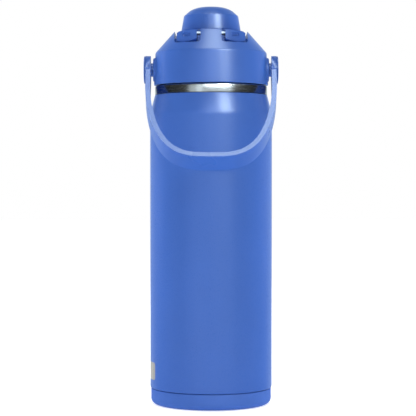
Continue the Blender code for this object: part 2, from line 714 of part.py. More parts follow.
def main():
    clear_scene()
    paint = make_material("powder_coat", (0.066, 0.162, 0.527), 0.42)
    soft = make_material("boot_rubber", (0.066, 0.162, 0.527), 0.60)
    plastic = make_material("lid_plastic", (0.072, 0.175, 0.545), 0.38)
    inner_plastic = make_material("inner_plastic", (0.80, 0.81, 0.82), 0.45)
    steel = make_material("brushed_steel", (0.56, 0.55, 0.54), 0.30, 1.0)
    silicone = make_material("silicone", (0.62, 0.64, 0.66), 0.55)
    magnet = make_material("magnet", (0.45, 0.45, 0.46), 0.35, 1.0)
    brazing = make_material("brazing", (0.50, 0.46, 0.40), 0.50, 1.0)
    getter = make_material("getter", (0.18, 0.18, 0.19), 0.80)

    make_outer_shell(paint)
    make_outer_base(steel)
    make_vacuum_port_plug(brazing)
    make_getter_pad(getter)
    make_inner_flask(steel)
    make_neck_ring(steel)
    make_base_boot(soft)

    lid_origin = (0.0, 0.0, COLLAR_FOOT_Z)
    lid_axis = add_axis("lid_axis", lid_origin)
    lid_pieces = [make_lid_shell(plastic), make_lid_liner(inner_plastic), make_mouth_gasket(silicone)]
    lid_pieces += [make_drink_spout(inner_plastic), make_spout_o_ring(silicone)]
    lid_pieces += [make_hinge_pin(steel), make_collar_magnet(magnet), *make_pivots(steel, plastic)]

    hinge_origin = (0.0, HINGE_Y, HINGE_Z)
    cap_origin = (0.0, 0.0, DOME_FOOT_Z)
    hinge_axis = add_axis("cap_hinge_axis", hinge_origin)
    cap_axis = add_axis("cap_twist_axis", cap_origin)
    yoke_pieces = [make_hinge_yoke(plastic)]
    cap_pieces = [make_cap_dome(plastic), make_cap_liner(inner_plastic), make_cap_seal(silicone)]
    cap_pieces.append(make_cap_magnet(magnet))

    handle_origin = (0.0, 0.0, PIVOT_Z)
    handle_axis = add_axis("handle_axis", handle_origin)
    handle_axis.rotation_euler.x = -HANG_ANGLE
    hang_on(handle_axis, (0.0, 0.0, 0.0), [make_carry_handle(plastic), *make_pivot_covers(plastic)])

    hang_on(lid_axis, lid_origin, lid_pieces)
    hang_on(hinge_axis, hinge_origin, yoke_pieces)
    hang_on(cap_axis, cap_origin, cap_pieces)


main()
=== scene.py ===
"""Looks of the insulated drinking bottle: fine meshes, materials, studio and camera.

Metres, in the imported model's own frame: +Z up, the cap's hinge and the hanging handle on -Y.
"""

import json
import math

import bmesh
import bpy
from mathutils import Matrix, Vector


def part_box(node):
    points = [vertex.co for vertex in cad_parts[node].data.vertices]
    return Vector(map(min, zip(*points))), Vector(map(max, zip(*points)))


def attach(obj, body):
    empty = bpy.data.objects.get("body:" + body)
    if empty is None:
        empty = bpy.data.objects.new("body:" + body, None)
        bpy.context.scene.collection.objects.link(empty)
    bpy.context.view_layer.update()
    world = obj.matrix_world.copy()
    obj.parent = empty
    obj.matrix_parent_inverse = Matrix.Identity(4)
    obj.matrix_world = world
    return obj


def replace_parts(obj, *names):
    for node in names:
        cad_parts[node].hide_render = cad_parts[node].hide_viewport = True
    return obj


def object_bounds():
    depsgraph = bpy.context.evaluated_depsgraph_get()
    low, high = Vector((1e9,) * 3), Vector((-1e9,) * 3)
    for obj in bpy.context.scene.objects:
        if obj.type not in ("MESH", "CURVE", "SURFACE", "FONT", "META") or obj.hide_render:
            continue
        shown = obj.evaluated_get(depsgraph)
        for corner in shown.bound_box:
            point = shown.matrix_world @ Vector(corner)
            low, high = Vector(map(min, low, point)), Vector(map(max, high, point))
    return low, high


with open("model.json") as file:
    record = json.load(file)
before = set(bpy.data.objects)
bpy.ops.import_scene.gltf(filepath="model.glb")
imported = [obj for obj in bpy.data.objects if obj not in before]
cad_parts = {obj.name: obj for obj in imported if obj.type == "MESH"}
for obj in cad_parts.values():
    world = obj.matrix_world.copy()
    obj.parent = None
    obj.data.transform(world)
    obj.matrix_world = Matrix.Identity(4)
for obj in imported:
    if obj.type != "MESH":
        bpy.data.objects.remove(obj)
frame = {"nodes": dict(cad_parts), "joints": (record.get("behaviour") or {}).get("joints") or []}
cad_low, cad_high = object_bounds()

# Sizes read from the frame
body_low, body_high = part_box("outer_shell")
ring_low, ring_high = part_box("neck_ring")
lid_low, lid_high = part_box("lid_shell")
boot_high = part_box("base_boot")[1]
dome_low, dome_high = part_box("cap_dome")
spout_low, spout_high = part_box("drink_spout")
liner_low, liner_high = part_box("lid_liner")
cup_low, cup_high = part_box("cap_liner")
yoke_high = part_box("hinge_yoke")[1]
flask_low, flask_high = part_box("inner_flask")
cover_low, cover_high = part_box("pivot_cover_right")
pin_low, pin_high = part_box("hinge_pin")

JOINTS = {joint["name"]: joint for joint in frame["joints"]}
HINGE = Vector(JOINTS["cap_hinge"]["pos_m"])
PIVOT = Vector(JOINTS["handle_swing"]["pos_m"])

# Bottle
BODY_RADIUS = body_high.x
NECK_RADIUS = ring_high.x
STEEL = 0.0008
SOCKET_RADIUS = 0.0418
SHOULDER_FOOT_Z = 0.2093
SHOULDER_BLEND = 0.018
FOOT_STEP_Z = boot_high.z + 0.0003
MOUTH_RADIUS = 0.0356
BAND_TOP_Z = ring_high.z - 0.0042
THREAD_PITCH = 0.0050
THREAD_TURNS = 1.25
THREAD_START_Z = 0.2225

# Etched bar low on the -X side of the body
BAR_Y = -0.0020
BAR_Z = 0.0249
BAR_HALF_Y = 0.0165
BAR_HALF_Z = 0.0063
BAR_CORNER = 0.0020
BAR_SIDE_X = -0.0300

# Lid collar
COLLAR_RADIUS = 0.0413
CREASE_Z = 0.2532
CREASE_RADIUS = 0.0402
TOP_RADIUS = 0.0266
TOP_Z = 0.2685
COLLAR_BORE = 0.0388
DECK_Z = 0.2620
DECK_UNDERSIDE_Z = 0.2604
SPOUT_HOLE_RADIUS = 0.0156
WELL_HALF_WIDTH = 0.0261
WELL_BACK_POWER = 3.0
KNUCKLE_HALF_WIDTH = 0.0074
KNUCKLE_BACK_Y = -0.0236
SLOT_FLOOR_Z = 0.2588
SLOT_BACK_Y = -0.0196
PIN_BORE_RADIUS = 0.0015
PAD_FACE_X = lid_high.x
PAD_RADIUS = 0.0083

# Yoke
ARM_INNER_X = 0.0101
ARM_OUTER_X = yoke_high.x
ARM_HUB_RADIUS = 0.0062
ARM_FACE_RADIUS = 0.0330
ARM_TOP_Z = 0.2676
ARM_SLOPE = math.radians(12.0)
DIMPLE_ANGLE = math.radians(31.8)
RING_FOOT_Z = 0.2646
RING_TOP_Z = yoke_high.z
RING_BORE = 0.0192

# Handle
HANG_ANGLE = math.radians(37.7)
HANDLE_REACH = 0.0827
HANDLE_HALF_SPAN = 0.0434
HANDLE_START = 0.0200
HANDLE_SIDE_POWER = 3.35
HANDLE_END_POWER = 1.8
HANDLE_THICKNESS = 0.0035
HANDLE_WIDTH = 0.0157
EYE_RADIUS = 0.0101
EYE_INNER_X = 0.0436
EYE_OUTER_X = 0.0474
EYE_BORE_RADIUS = 0.0037
EYE_SEAT_RADIUS = 0.0054
EYE_SEAT_X = 0.0454

# How far the cuts in the lid and the yoke reach
CUT_FOOT_Z = 0.2500
CUT_TOP_Z = 0.2800
CUT_FRONT_Y = -0.0450

SMOOTH_ANGLE = math.radians(34)
ROUND_STEPS = 144

# Studio: angles in degrees, azimuth 0 on the viewer's side and growing towards +X.
# Name, azimuth, elevation, distance, width, height and brightness of each soft box.
LIGHT_CENTRE = Vector((0.0, 0.0, 0.16))
GLOSS_TINT = (0.78, 0.93, 1.0)
GLOSS_LIGHTS = [
    ("key", 29.0, 31.0, 1.3, 0.42, 0.70, 33.0),
    ("top", 24.0, 78.0, 1.1, 0.50, 0.50, 14.0),
    ("soft", 4.0, 24.0, 1.4, 0.70, 0.60, 6.5),
    ("front", -2.0, 0.0, 1.7, 3.3, 1.4, 0.78),
    ("strip", -23.0, 0.0, 1.6, 0.35, 1.4, 0.7),
]
MATT_LIGHTS = [
    ("side_left", -122.0, 14.0, 1.5, 0.6, 1.2, 8.2),
    ("side_right", 122.0, 14.0, 1.5, 0.6, 1.2, 8.2),
    ("ceiling", 0.0, 76.0, 1.5, 1.0, 1.0, 2.6),
]
WORLD_LEVEL = 0.60
FLOOR_GLOW = 0.47
FLOOR_HALF_WIDTH = 6.0

# What gloss sees of the room, from the viewer's side (0) to behind the bottle (1)
SHEEN_FRONT = (0.06, 0.06, 0.06)
SHEEN_STOPS = [(0.45, 0.05), (0.60, 0.02), (0.74, 0.08), (0.90, 0.60)]
SHEEN_TINT = (0.80, 0.95, 1.0)
SHEEN_BACK = (0.68, 0.80, 0.85)

CAMERA_PLACE = Vector((0.0, -1.1226, 0.1582))
CAMERA_AIM = Vector((-0.0022, 0.0, 0.1414))
CAMERA_LENS = 134.1


# ---------------------------------------------------------------- mesh helpers


def add_mesh(name, mesh, material=None):
    """A shown piece, or a hidden cutter where it has no material."""
    obj = bpy.data.objects.new(name, mesh)
    bpy.context.scene.collection.objects.link(obj)
    if material:
        mesh.materials.append(material)
    else:
        obj.hide_render = True
        obj.hide_viewport = True
    return obj


def baked(obj, smooth=True):
    """Applies the object's modifiers and, where asked, smooths all but its sharp edges."""
    obj.hide_viewport = False
    graph = bpy.context.evaluated_depsgraph_get()
    mesh = bpy.data.meshes.new_from_object(obj.evaluated_get(graph))
    obj.modifiers.clear()
    obj.data = mesh
    if smooth:
        mesh.shade_smooth()
        mesh.set_sharp_from_angle(angle=SMOOTH_ANGLE)
    return obj


def arc(centre_r, centre_z, radius, start, end, steps):
    """Points (r, z) along an arc, with angles in degrees from the +r direction."""
    points = []
    for step in range(steps + 1):
        angle = math.radians(start + (end - start) * step / steps)
        points.append((centre_r + radius * math.cos(angle), centre_z + radius * math.sin(angle)))
    return points


def filleted(corners, closed=True, steps=4):
    """Rounds each corner (x, y, radius) of an outline and gives its points (x, y)."""
    points = []
    count = len(corners)
    for i, corner in enumerate(corners):
        here = Vector(corner[:2])
        radius = corner[2] if len(corner) > 2 else 0.0
        if not radius or (not closed and i in (0, count - 1)):
            points.append(tuple(here))
            continue
        before = Vector(corners[i - 1][:2]) - here
        after = Vector(corners[(i + 1) % count][:2]) - here
        half = before.angle(after) / 2
        reach = min(radius / math.tan(half), before.length * 0.49, after.length * 0.49)
        radius = reach * math.tan(half)
        inwards = (before.normalized() + after.normalized()).normalized()
        middle = here + inwards * radius / math.sin(half)
        start = here + before.normalized() * reach - middle
        end = here + after.normalized() * reach - middle
        for step in range(steps + 1):
            share = step / steps
            points.append(tuple(middle + start.slerp(end, share).normalized() * start.length))
    return points


def turned(name, profile, material=None, steps=ROUND_STEPS, closed=True):
    """A solid of revolution about Z. The profile (r, z) runs down its outer side."""
    mesh = bpy.data.meshes.new(name)
    count = len(profile)
    edges = [(i, i + 1) for i in range(count - 1)]
    if closed:
        edges.append((count - 1, 0))
    mesh.from_pydata([(r, 0.0, z) for r, z in profile], edges, [])
    obj = add_mesh(name, mesh, material)
    screw = obj.modifiers.new("turn", "SCREW")
    screw.steps = steps
    screw.render_steps = steps
    screw.use_merge_vertices = True
    screw.merge_threshold = 0.000001
    return baked(obj) if material else obj


def outline_solid(name, outline, depth, material=None):
    """A flat outline in XY, extruded from z = 0 up to the depth."""
    work = bmesh.new()
    face = work.faces.new([work.verts.new((x, y, 0.0)) for x, y in outline])
    top = bmesh.ops.extrude_face_region(work, geom=[face])
    moved = [item for item in top["geom"] if isinstance(item, bmesh.types.BMVert)]
    bmesh.ops.translate(work, verts=moved, vec=(0.0, 0.0, depth))
    bmesh.ops.recalc_face_normals(work, faces=work.faces)
    mesh = bpy.data.meshes.new(name)
    work.to_mesh(mesh)
    work.free()
    return add_mesh(name, mesh, material)


def box(name, low, high):
    """A cutter or an added block between two opposite corners."""
    (x0, y0, z0), (x1, y1, z1) = low, high
    obj = outline_solid(name, [(x0, y0), (x1, y0), (x1, y1), (x0, y1)], z1 - z0)
    obj.location.z = z0
    return obj


def side_box(name, side, inner_x, outer_x, low_yz, high_yz):
    """A box between two distances from the middle plane, on one side of it."""
    x0, x1 = sorted((side * inner_x, side * outer_x))
    return box(name, (x0, *low_yz), (x1, *high_yz))


def rod(name, radius, start, end, material=None, steps=48, edge=0.0):
    """A round bar along Z, with its end edges rounded where asked."""
    corners = [(0.0, end), (radius, end, edge), (radius, start, edge), (0.0, start)]
    return turned(name, filleted(corners, closed=False), material, steps, closed=False)


def along_x(obj, side, y, z):
    """Turns a solid about Z into one about X that starts at x = 0 and runs to one side."""
    obj.rotation_euler = (0.0, side * math.pi / 2, 0.0)
    obj.location = (0.0, y, z)
    return obj


def combine(target, other, operation):
    modifier = target.modifiers.new(operation.lower() + "_" + other.name, "BOOLEAN")
    modifier.operation = operation
    modifier.solver = "EXACT"
    modifier.object = other


def join(target, other):
    combine(target, other, "UNION")


def cut(target, other):
    combine(target, other, "DIFFERENCE")


def keep_inside(target, other):
    combine(target, other, "INTERSECT")


def bevel(obj, width, segments=3, angle=40.0):
    modifier = obj.modifiers.new("edges", "BEVEL")
    modifier.width = width
    modifier.segments = segments
    modifier.limit_method = "ANGLE"
    modifier.angle_limit = math.radians(angle)
    modifier.use_clamp_overlap = True


def even_normals(obj):
    """Keeps a baked piece's large flat and turned faces even next to small bevels and cuts."""
    modifier = obj.modifiers.new("normals", "WEIGHTED_NORMAL")
    modifier.keep_sharp = True
    modifier.weight = 60
    return baked(obj, smooth=False)


def merged(target, *others):
    """Adds other pieces' faces to a piece, so that they are one mesh."""
    work = bmesh.new()
    work.from_mesh(target.data)
    for other in others:
        other.data.transform(other.matrix_basis)
        work.from_mesh(other.data)
        bpy.data.objects.remove(other)
    work.to_mesh(target.data)
    work.free()
    target.data.shade_smooth()
    target.data.set_sharp_from_angle(angle=SMOOTH_ANGLE)
    return target


def thread_ridge(name, root, crest, material, steps=150):
    """A rounded helical ridge of a screw thread that runs out at both ends."""
    work = bmesh.new()
    embed = math.copysign(0.0005, root - crest)
    section = [(0.0, 0.0013), (0.0, 0.0012), (0.55, 0.0010), (0.9, 0.0006), (1.0, 0.0)]
    section += [(0.9, -0.0006), (0.55, -0.0010), (0.0, -0.0012), (0.0, -0.0013)]
    rings = []
    for step in range(steps + 1):
        share = step / steps
        angle = 2 * math.pi * THREAD_TURNS * share
        height = math.sin(math.pi / 2 * min(1.0, 10 * share + 0.02, 10 * (1 - share) + 0.02))
        middle = THREAD_START_Z + THREAD_PITCH * THREAD_TURNS * share
        ring = []
        for i, (rise, z) in enumerate(section):
            radius = root + (crest - root) * rise * height
            if i in (0, len(section) - 1):
                radius = root + embed
            point = (radius * math.cos(angle), radius * math.sin(angle), middle + z)
            ring.append(work.verts.new(point))
        rings.append(ring)
    count = len(section)
    for first, second in zip(rings, rings[1:]):
        for i in range(count):
            j = (i + 1) % count
            work.faces.new((first[i], first[j], second[j], second[i]))
    work.faces.new(rings[0])
    work.faces.new(rings[-1])
    bmesh.ops.recalc_face_normals(work, faces=work.faces)
    mesh = bpy.data.meshes.new(name)
    work.to_mesh(mesh)
    work.free()
    return add_mesh(name, mesh, material)


# ---------------------------------------------------------------- materials


class Material:
    """A Principled material and short ways to add procedural detail to it."""

    def __init__(self, name, roughness, metallic=0.0, specular=0.5):
        self.data = bpy.data.materials.new(name)
        self.data.use_nodes = True
        self.nodes = self.data.node_tree.nodes
        self.links = self.data.node_tree.links
        self.shader = self.nodes["Principled BSDF"]
        self.shader.inputs["Roughness"].default_value = roughness
        self.shader.inputs["Metallic"].default_value = metallic
        self.shader.inputs["Specular IOR Level"].default_value = specular
        self.place = self.nodes.new("ShaderNodeTexCoord").outputs["Object"]
        self.height = None

    def noise(self, scale, detail=3.0, stretch=(1.0, 1.0, 1.0), source=None):
        mapping = self.nodes.new("ShaderNodeMapping")
        mapping.inputs["Scale"].default_value = stretch
        self.links.new(source or self.place, mapping.inputs["Vector"])
        noise = self.nodes.new("ShaderNodeTexNoise")
        noise.inputs["Scale"].default_value = scale
        noise.inputs["Detail"].default_value = detail
        self.links.new(mapping.outputs["Vector"], noise.inputs["Vector"])
        return noise.outputs["Fac"]

    def ramp(self, factor, low, high, start=0.35, end=0.65):
        """A colour that goes from low to high as the factor goes from start to end."""
        node = self.nodes.new("ShaderNodeValToRGB")
        node.color_ramp.elements[0].position = start
        node.color_ramp.elements[0].color = (*low, 1.0)
        node.color_ramp.elements[1].position = end
        node.color_ramp.elements[1].color = (*high, 1.0)
        self.links.new(factor, node.inputs["Fac"])
        return node.outputs["Color"]

    def values(self, factor, low, high, start=0.35, end=0.65):
        """A number that goes from low to high as the factor goes from start to end."""
        node = self.nodes.new("ShaderNodeMapRange")
        node.inputs["From Min"].default_value = start
        node.inputs["From Max"].default_value = end
        node.inputs["To Min"].default_value = low
        node.inputs["To Max"].default_value = high
        self.links.new(factor, node.inputs["Value"])
        return node.outputs["Result"]

    def maths(self, operation, first, second=None):
        node = self.nodes.new("ShaderNodeMath")
        node.operation = operation
        for socket, value in zip(node.inputs, (first, second)):
            if value is None:
                continue
            if isinstance(value, (int, float)):
                socket.default_value = value
            else:
                self.links.new(value, socket)
        return node.outputs["Value"]

    def mix(self, factor, first, second):
        node = self.nodes.new("ShaderNodeMix")
        node.data_type = "RGBA"
        self.links.new(factor, node.inputs["Factor"])
        for socket, value in (("A", first), ("B", second)):
            found = [item for item in node.inputs if item.name == socket and item.type == "RGBA"][0]
            if isinstance(value, tuple):
                found.default_value = (*value, 1.0)
            else:
                self.links.new(value, found)
        return [item for item in node.outputs if item.type == "RGBA"][0]

    def set(self, socket, value):
        self.links.new(value, self.shader.inputs[socket])

    def bump(self, factor, depth, strength=1.0):
        """Adds a height in metres to the bumps."""
        node = self.nodes.new("ShaderNodeBump")
        node.inputs["Strength"].default_value = strength
        node.inputs["Distance"].default_value = depth
        self.links.new(factor, node.inputs["Height"])
        if self.height:
            self.links.new(self.height, node.inputs["Normal"])
        self.height = node.outputs["Normal"]
        self.links.new(self.height, self.shader.inputs["Normal"])


def shade(colour, factor):
    return tuple(channel * factor for channel in colour)


BLUE = (0.042, 0.122, 0.455)


def etched_bar(material):
    """A mask that is 1 inside the etched bar, which has rounded corners."""
    split = material.nodes.new("ShaderNodeSeparateXYZ")
    material.links.new(material.place, split.inputs["Vector"])
    total = 0.0
    for axis, centre, half in (("Y", BAR_Y, BAR_HALF_Y), ("Z", BAR_Z, BAR_HALF_Z)):
        offset = material.maths("ABSOLUTE", material.maths("SUBTRACT", split.outputs[axis], centre))
        over = material.maths("MAXIMUM", material.maths("SUBTRACT", offset, half - BAR_CORNER), 0.0)
        total = material.maths("ADD", material.maths("MULTIPLY", over, over), total)
    distance = material.maths("SQRT", total)
    inside = material.values(distance, 1.0, 0.0, BAR_CORNER - 0.0002, BAR_CORNER + 0.0001)
    side = material.values(split.outputs["X"], 1.0, 0.0, BAR_SIDE_X, BAR_SIDE_X + 0.0010)
    return material.maths("MULTIPLY", inside, side)


def powder_coat():
    """Fine orange-peel coating, with a bare etched bar low on the -X side."""
    material = Material("powder_coat", 0.30, specular=0.32)
    cloud = material.noise(22.0, 2.0)
    speck = material.noise(2600.0, 2.0)
    paint = material.ramp(cloud, shade(BLUE, 0.96), shade(BLUE, 1.04))
    paint = material.mix(speck, paint, shade(BLUE, 1.03))
    mark = etched_bar(material)
    grain = material.noise(420.0, 4.0, (1.0, 1.0, 0.06))
    bare = material.ramp(grain, (0.29, 0.28, 0.26), (0.37, 0.355, 0.33))
    material.set("Base Color", material.mix(mark, paint, bare))
    material.set("Roughness", material.values(speck, 0.27, 0.35))
    material.bump(speck, 0.000035, 0.55)
    material.bump(material.noise(620.0, 2.0), 0.00006, 0.30)
    material.bump(mark, -0.00006, 0.8)
    return material.data


def moulded_plastic(name, colour, roughness, grain=0.00003):
    """Satin moulded plastic: fine spark texture, and slight flow and gloss variation."""
    material = Material(name, roughness, specular=0.32)
    flow = material.noise(35.0, 3.0, (1.0, 1.0, 0.4))
    spark = material.noise(3400.0, 2.0)
    material.set("Base Color", material.ramp(flow, shade(colour, 0.97), shade(colour, 1.03)))
    material.set("Roughness", material.values(flow, roughness - 0.03, roughness + 0.03))
    material.bump(spark, grain, 0.6)
    return material.data


def boot_rubber():
    """Soft dull moulding with a fine dusty bloom."""
    material = Material("boot_rubber", 0.62, specular=0.24)
    cloud = material.noise(60.0, 4.0)
    dust = material.noise(5200.0, 2.0)
    material.set("Base Color", material.ramp(cloud, shade(BLUE, 1.00), shade(BLUE, 1.07)))
    material.set("Roughness", material.values(dust, 0.56, 0.68))
    material.bump(dust, 0.00005, 0.7)
    return material.data


def turned_steel(name, colour, roughness, pitch=2600.0):
    """Lathe-turned steel: fine lines round the axis, and faint smudges."""
    material = Material(name, roughness, 1.0)
    split = material.nodes.new("ShaderNodeSeparateXYZ")
    material.links.new(material.place, split.inputs["Vector"])
    x, y, z = (split.outputs[axis] for axis in "XYZ")
    x_squared = material.maths("MULTIPLY", x, x)
    y_squared = material.maths("MULTIPLY", y, y)
    radius = material.maths("SQRT", material.maths("ADD", x_squared, y_squared))
    round_axis = material.maths("MULTIPLY", material.maths("ARCTAN2", y, x), 0.0006)
    joined = material.nodes.new("ShaderNodeCombineXYZ")
    for socket, value in (("X", radius), ("Y", round_axis), ("Z", z)):
        material.links.new(value, joined.inputs[socket])
    lines = material.noise(pitch, 3.0, (1.0, 1.0, 1.0), joined.outputs["Vector"])
    smudge = material.noise(45.0, 3.0)
    material.set("Base Color", material.ramp(smudge, shade(colour, 0.95), shade(colour, 1.03)))
    material.set("Roughness", material.values(lines, roughness - 0.06, roughness + 0.08))
    material.bump(lines, 0.000004, 0.5)
    return material.data


def silicone(name, colour):
    """Milky silicone that lets a little light in."""
    material = Material(name, 0.5, specular=0.45)
    dust = material.noise(900.0, 4.0)
    material.set("Base Color", material.ramp(dust, shade(colour, 0.94), shade(colour, 1.04)))
    material.set("Roughness", material.values(dust, 0.44, 0.58))
    material.bump(dust, 0.00003, 0.4)
    material.shader.inputs["Subsurface Weight"].default_value = 0.08
    material.shader.inputs["Subsurface Scale"].default_value = 0.002
    return material.data


def rough_metal(name, colour, roughness, scale):
    """Plated, sintered or brazed metal with an uneven surface."""
    material = Material(name, roughness, 1.0)
    patch = material.noise(scale, 5.0)
    material.set("Base Color", material.ramp(patch, shade(colour, 0.80), shade(colour, 1.10)))
    material.set("Roughness", material.values(patch, roughness - 0.08, roughness + 0.12))
    material.bump(patch, 0.00008, 0.5)
    return material.data


# ---------------------------------------------------------------- bottle


def make_body(material):
    """Outer wall with its soft shoulder, straight side and the step above the boot."""
    slope = math.degrees(math.atan2(BODY_RADIUS - NECK_RADIUS, body_high.z - SHOULDER_FOOT_Z))
    drop = SHOULDER_BLEND * math.tan(math.radians(slope / 2))
    centre_z = SHOULDER_FOOT_Z - drop
    shoulder = arc(BODY_RADIUS - SHOULDER_BLEND, centre_z, SHOULDER_BLEND, slope, 0, 8)
    inner = BODY_RADIUS - STEEL
    lip = [(NECK_RADIUS - STEEL, body_high.z), (NECK_RADIUS, body_high.z, 0.0003), shoulder[0]]
    outside = filleted(lip, closed=False, steps=3) + shoulder[1:]
    step = [(BODY_RADIUS, 0.1), (BODY_RADIUS, FOOT_STEP_Z, 0.0010), (SOCKET_RADIUS, FOOT_STEP_Z)]
    step += [(SOCKET_RADIUS, body_low.z), (SOCKET_RADIUS - STEEL, body_low.z)]
    step += [(SOCKET_RADIUS - STEEL, FOOT_STEP_Z + STEEL), (inner, FOOT_STEP_Z + STEEL)]
    inside = [(r - STEEL, z) for r, z in reversed(shoulder)]
    profile = outside + filleted(step, closed=False) + inside
    body = turned("bottle_body", profile, material, 192)
    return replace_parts(body, "outer_shell")


def make_mouth_band(material):
    """Bare steel mouth: band, shelf, rim and the thread in its bore."""
    band_inner = NECK_RADIUS - 0.0012
    rim = 0.0382
    leg = MOUTH_RADIUS + 0.0013
    foot_z = body_high.z + 0.0003
    corners = [(MOUTH_RADIUS, ring_high.z, 0.0007), (rim, ring_high.z, 0.0007)]
    corners += [(rim, BAND_TOP_Z, 0.0004), (NECK_RADIUS, BAND_TOP_Z, 0.0010)]
    corners += [(NECK_RADIUS, foot_z, 0.0002), (band_inner, foot_z)]
    corners += [(band_inner, BAND_TOP_Z - 0.0012, 0.0004)]
    corners += [(leg, BAND_TOP_Z - 0.0012), (leg, ring_low.z), (MOUTH_RADIUS, ring_low.z)]
    band = turned("mouth_band", filleted(corners), material, 192)
    merged(band, thread_ridge("mouth_thread", MOUTH_RADIUS, 0.0347, material))
    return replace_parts(band, "neck_ring")


def make_flask(material):
    """Inner wall with its rounded floor and its shoulder below the mouth."""
    radius = flask_high.x
    neck = MOUTH_RADIUS + 0.0013
    bend = 0.0045
    bend_z = 0.2040
    corner = 0.0092
    corner_z = flask_low.z + corner
    outside = [(neck, flask_high.z), (neck, 0.2122)]
    outside += arc(radius - bend, bend_z, bend, 60, 0, 8)
    outside += arc(radius - corner, corner_z, corner, 0, -90, 10)
    outside.append((0.0, flask_low.z))
    inside = [(0.0, flask_low.z + STEEL)]
    inside += arc(radius - corner, corner_z, corner - STEEL, -90, 0, 10)
    inside += arc(radius - bend, bend_z, bend - STEEL, 0, 60, 8)
    inside += [(neck - STEEL, 0.2119), (neck - STEEL, flask_high.z)]
    flask = turned("flask_wall", inside + outside, material, 128, closed=False)
    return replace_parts(flask, "inner_flask")


def make_boot(material):
    """Soft boot with a rounded foot and a groove in its underside."""
    bore = SOCKET_RADIUS + 0.0003
    floor_z = 0.0032
    groove_z = 0.0008
    top_z = boot_high.z
    corners = [(0.0, floor_z), (bore - 0.0012, floor_z, 0.0003), (bore, 0.0044)]
    corners += [(bore, top_z, 0.0002), (boot_high.x, top_z, 0.0006), (boot_high.x, 0.0, 0.0045)]
    corners += [(0.0290, 0.0, 0.0005), (0.0284, groove_z, 0.0003)]
    corners += [(0.0266, groove_z, 0.0003), (0.0260, 0.0, 0.0005), (0.0, 0.0)]
    outline = filleted(corners, closed=False, steps=7)
    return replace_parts(turned("foot_boot", outline, material, 192, closed=False), "base_boot")


# ---------------------------------------------------------------- lid


def collar_radius(z):
    """Outer radius of the lid's cone at a height."""
    share = (z - CREASE_Z) / (TOP_Z - CREASE_Z)
    return CREASE_RADIUS + share * (TOP_RADIUS - CREASE_RADIUS)


def well_outline():
    """Straight-sided well, with a rounder end away from the hinge."""
    half = WELL_HALF_WIDTH
    points = [(-half, KNUCKLE_BACK_Y), (half, KNUCKLE_BACK_Y)]
    steps = 56
    for step in range(steps + 1):
        angle = math.pi * step / steps
        cosine = math.cos(angle)
        x = half * math.copysign(abs(cosine) ** (2 / WELL_BACK_POWER), cosine)
        y = half * abs(math.sin(angle)) ** (2 / WELL_BACK_POWER)
        points.append((x, y))
    return points


def collar_profile():
    """Half section of the collar: cone, side, bore and the deck under the well."""
    wall = 0.0022
    foot_z = lid_low.z
    corners = [(SPOUT_HOLE_RADIUS, TOP_Z), (TOP_RADIUS, TOP_Z, 0.0012)]
    corners += [(CREASE_RADIUS, CREASE_Z, 0.0030), (COLLAR_RADIUS, foot_z, 0.0006)]
    corners += [(COLLAR_BORE, foot_z, 0.0005), (COLLAR_BORE, 0.2490)]
    corners += [(CREASE_RADIUS - wall, CREASE_Z - 0.0009)]
    corners += [(collar_radius(DECK_UNDERSIDE_Z) - wall, DECK_UNDERSIDE_Z)]
    corners += [(SPOUT_HOLE_RADIUS, DECK_UNDERSIDE_Z)]
    return filleted(corners, steps=5)


def hinge_block():
    """Solid floor under the arm slots, kept just inside the cone."""
    inset = 0.0007
    low_z, high_z = 0.2550, 0.2640
    block = box("hinge_block", (-0.0282, -0.0420, 0.2566), (0.0282, -0.0195, 0.2612))
    bound = [(0.0, high_z), (collar_radius(high_z) - inset, high_z)]
    bound += [(collar_radius(low_z) - inset, low_z), (0.0, low_z)]
    keep_inside(block, turned("hinge_block_bound", bound, closed=False))
    return block


def pivot_pad(side):
    """Round pad on the collar's side that carries one end of the handle."""
    root_x = 0.0391
    corners = [(0.0, PAD_FACE_X), (PAD_RADIUS, PAD_FACE_X, 0.0008)]
    corners += [(PAD_RADIUS + 0.0010, root_x), (0.0, root_x)]
    pad = turned(f"pad_{side}", filleted(corners, closed=False), None, 64, closed=False)
    return along_x(pad, side, PIVOT.y, PIVOT.z)


def shape_hinge(collar):
    """Cuts the well and the arm slots, which leaves the knuckle with a step on each side."""
    well = outline_solid("well", well_outline(), 0.0200)
    well.location.z = DECK_Z
    cut(collar, well)
    for side in (-1, 1):
        low, high = (CUT_FRONT_Y, SLOT_FLOOR_Z), (SLOT_BACK_Y, CUT_TOP_Z)
        slot = side_box(f"arm_slot_{side}", side, KNUCKLE_HALF_WIDTH, WELL_HALF_WIDTH, low, high)
        bevel(slot, 0.0018, 5)
        cut(collar, slot)
    for side in (-1, 1):
        low, high = (-0.0282, 0.2570), (-0.0226, 0.2637)
        join(collar, side_box(f"knuckle_step_{side}", side, 0.0060, 0.0096, low, high))


def make_collar(material):
    """Collar with its cone, well, hinge knuckle, arm slots and handle pads."""
    collar = turned("lid_collar", collar_profile(), material)
    join(collar, hinge_block())
    for side in (-1, 1):
        join(collar, pivot_pad(side))
    ridge = box("knuckle_ridge", (-0.0080, -0.0248, 0.2670), (0.0080, -0.0230, lid_high.z))
    join(collar, ridge)
    shape_hinge(collar)
    notch = box("thumb_notch", (-0.0078, 0.0200, 0.2636), (0.0078, 0.0400, CUT_TOP_Z))
    bevel(notch, 0.0012, 4)
    cut(collar, notch)
    bore = rod("hinge_bore", PIN_BORE_RADIUS, -0.0200, 0.0200, None, 24)
    cut(collar, along_x(bore, 1, HINGE.y, HINGE.z))
    bore = rod("pivot_bore", 0.0019, -0.0450, 0.0450, None, 24)
    cut(collar, along_x(bore, 1, PIVOT.y, PIVOT.z))
    bevel(collar, 0.00045, 3)
    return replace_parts(even_normals(baked(collar)), "lid_shell")


